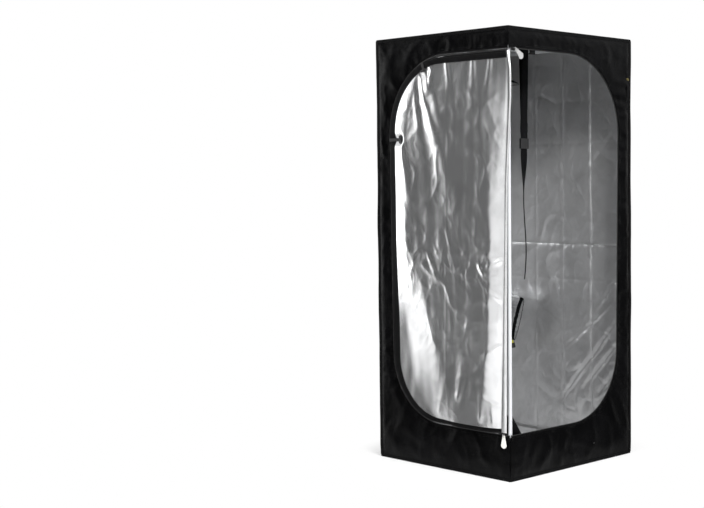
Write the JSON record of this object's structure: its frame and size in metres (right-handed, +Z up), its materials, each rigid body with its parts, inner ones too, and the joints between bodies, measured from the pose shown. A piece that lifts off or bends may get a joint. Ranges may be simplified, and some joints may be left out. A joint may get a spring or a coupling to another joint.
{
  "type": "indoor grow tent",
  "caption": "Square-footed indoor grow tent: steel pole frame in a light-proof sewn cover with a wrap-around D-shaped corner door, duct socks, hanging bars and a spill tray.",
  "frame": {"origin": "middle of the footprint on the ground, on the floor panel's underside", "axes": "+Z up; -Y out of the front face with the open half of the door; -X out of the left face; the door's corner is at -X, -Y"},
  "size_m": [0.6299, 0.6155, 1.4],
  "materials": {
    "cover": "black coated oxford weave",
    "film": "silver reflective film on fabric",
    "pole": "white powder coat",
    "plastic": "black moulded",
    "tape": "black woven zip tape",
    "pull": "satin moulded",
    "metal": "nickel plated",
    "webbing": "black woven webbing",
    "button": "yellow-green moulded",
    "mesh": "black net"
  },
  "bodies": {
    "tent": {"upright_lower_fl": "pole", "upright_lower_fr": "pole", "upright_lower_bl": "pole", "upright_lower_br": "pole", "upright_upper_fl": "pole", "upright_upper_fr": "pole", "upright_upper_bl": "pole", "upright_upper_br": "pole", "top_bar_front": "pole", "top_bar_back": "pole", "top_bar_left": "pole", "top_bar_right": "pole", "base_bar_front": "pole", "base_bar_back": "pole", "base_bar_left": "pole", "base_bar_right": "pole", "connector_top_fl": "plastic", "connector_top_fr": "plastic", "connector_top_bl": "plastic", "connector_top_br": "plastic", "connector_base_fl": "plastic", "connector_base_fr": "plastic", "connector_base_bl": "plastic", "connector_base_br": "plastic", "wall_front": "cover", "wall_left": "cover", "wall_back": "cover", "wall_right": "cover", "roof_panel": "cover", "floor_panel": "cover", "spill_tray": "film", "zip_tape_front": "tape", "zip_tape_left": "tape", "duct_sock_upper": "film", "duct_sock_lower": "film", "cord_lock_upper": "plastic", "cord_lock_lower": "plastic", "vent_mesh": "mesh", "corner_gusset": "cover"},
    "door_zipped": {"door_zipped_half": "cover"},
    "door_open": {"door_flap": "film", "toggle_upper": "plastic", "toggle_side": "plastic"},
    "slider_top": {"slider_top": "metal"},
    "ring_top": {"pull_ring_top": "metal"},
    "tab_top": {"pull_tab_top": "pull"},
    "slider_bottom": {"slider_bottom": "metal"},
    "ring_bottom": {"pull_ring_bottom": "metal"},
    "tab_bottom": {"pull_tab_bottom": "pull"},
    "bar_front": {"hanging_bar_front": "pole", "bar_clip_front_left": "plastic", "bar_clip_front_right": "plastic"},
    "bar_rear": {"hanging_bar_rear": "pole", "bar_clip_rear_left": "plastic", "bar_clip_rear_right": "plastic"},
    "strap": {"hang_strap": "webbing"},
    "buckle": {"strap_buckle": "plastic"},
    "vent_cover": {"vent_cover": "cover"},
    "button_upper": {"lock_button_upper": "button"},
    "button_lower": {"lock_button_lower": "button"}
  },
  "joints": [
    {"name": "door_swing", "type": "hinge", "parent": "tent", "child": "door_zipped", "pos_m": [-0.303, 0.238, 0.7], "axis": [0, 0, -1], "range_deg": [0, 120]},
    {"name": "door_fold", "type": "hinge", "parent": "door_zipped", "child": "door_open", "pos_m": [-0.308, -0.308, 0.7], "axis": [0, 0, 1], "range_deg": [0, 270]},
    {"name": "slider_top_run", "type": "slide", "parent": "tent", "child": "slider_top", "axis": [1, 0, 0], "range_m": [0, 0.25]},
    {"name": "ring_top_swing", "type": "hinge", "parent": "slider_top", "child": "ring_top", "pos_m": [-0.277, -0.3042, 1.332], "axis": [0, -1, 0], "range_deg": [-106, 6]},
    {"name": "tab_top_lift", "type": "hinge", "parent": "ring_top", "child": "tab_top", "pos_m": [-0.277, -0.3087, 1.332], "axis": [-0.6428, 0, -0.766], "range_deg": [0, 60]},
    {"name": "slider_bottom_run", "type": "slide", "parent": "tent", "child": "slider_bottom", "axis": [0, 1, 0], "range_m": [0, 0.25]},
    {"name": "ring_bottom_swing", "type": "hinge", "parent": "slider_bottom", "child": "ring_bottom", "pos_m": [-0.3042, -0.28, 0.146], "axis": [1, 0, 0], "range_deg": [-56, 56]},
    {"name": "tab_bottom_lift", "type": "hinge", "parent": "ring_bottom", "child": "tab_bottom", "pos_m": [-0.3087, -0.28, 0.146], "axis": [0, 1, 0], "range_deg": [0, 60]},
    {"name": "bar_front_run", "type": "slide", "parent": "tent", "child": "bar_front", "axis": [0, 1, 0], "range_m": [-0.1, 0.1]},
    {"name": "bar_rear_run", "type": "slide", "parent": "tent", "child": "bar_rear", "axis": [0, 1, 0], "range_m": [-0.1, 0.1]},
    {"name": "strap_swing", "type": "hinge", "parent": "bar_front", "child": "strap", "pos_m": [-0.033, -0.12, 1.388], "axis": [1, 0, 0], "range_deg": [-12, 12]},
    {"name": "buckle_run", "type": "slide", "parent": "strap", "child": "buckle", "axis": [0, 0, 1], "range_m": [-0.015, 0.05]},
    {"name": "vent_cover_lift", "type": "hinge", "parent": "tent", "child": "vent_cover", "pos_m": [-0.09, 0.3015, 0.237], "axis": [1, 0, 0], "range_deg": [0, 150]},
    {"name": "button_upper_press", "type": "slide", "parent": "tent", "child": "button_upper", "axis": [0.309, 0, -0.9511], "range_m": [0, 0.003], "stiffness_N_per_m": 200},
    {"name": "button_lower_press", "type": "slide", "parent": "tent", "child": "button_lower", "axis": [0.309, 0, -0.9511], "range_m": [0, 0.003], "stiffness_N_per_m": 200}
  ]
}
